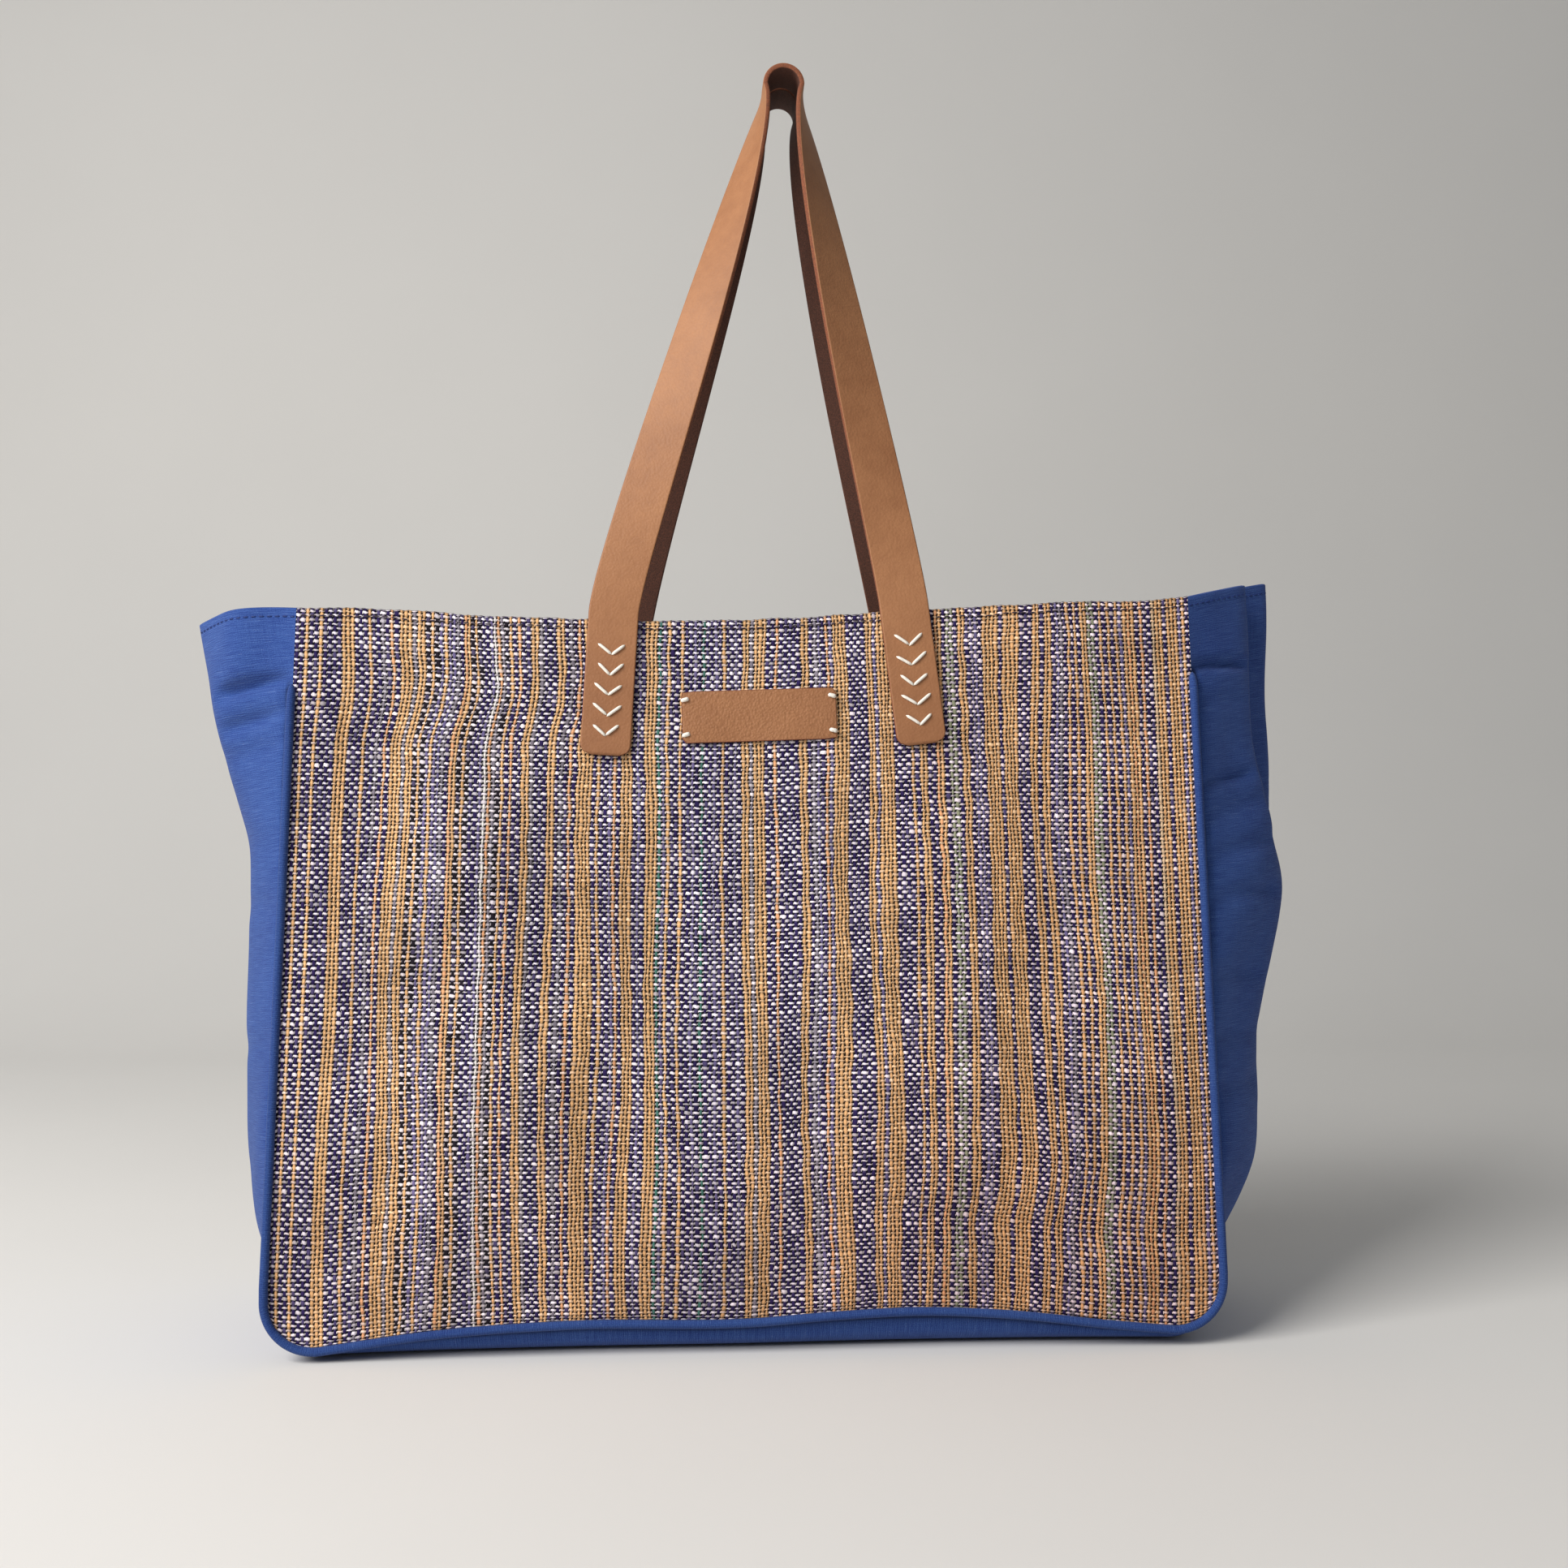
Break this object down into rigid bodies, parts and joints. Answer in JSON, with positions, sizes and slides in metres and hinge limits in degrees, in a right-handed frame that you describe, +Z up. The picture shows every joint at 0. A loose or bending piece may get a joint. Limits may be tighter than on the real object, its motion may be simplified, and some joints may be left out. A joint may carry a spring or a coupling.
{
  "type": "tote bag",
  "caption": "Shoulder tote in striped plain-weave cloth with a blue cotton gusset, piped seams, twisted leather handles and a bare leather label.",
  "frame": {"origin": "centre of the bounding box on the floor under the base", "axes": "+Z up towards the handles, +X to the bag's right as seen from the front, front panel faces -Y"},
  "size_m": [0.5669, 0.1358, 0.65],
  "materials": {
    "striped_cloth": "coarse plain weave, matt, striped along the warp",
    "blue_cotton": "plain cotton, matt",
    "lining_cotton": "thin cotton, matt",
    "leather": "tan grain outside, suede inside, cut edges",
    "white_thread": "waxed thread"
  },
  "bodies": {
    "root": {"front_panel": "striped_cloth", "back_panel": "striped_cloth", "gusset": "blue_cotton", "lining": "lining_cotton", "front_piping": "blue_cotton", "back_piping": "blue_cotton", "front_handle": "leather", "back_handle": "leather", "front_handle_stitches": "white_thread", "back_handle_stitches": "white_thread", "label": "leather", "label_stitches": "white_thread"}
  },
  "joints": []
}
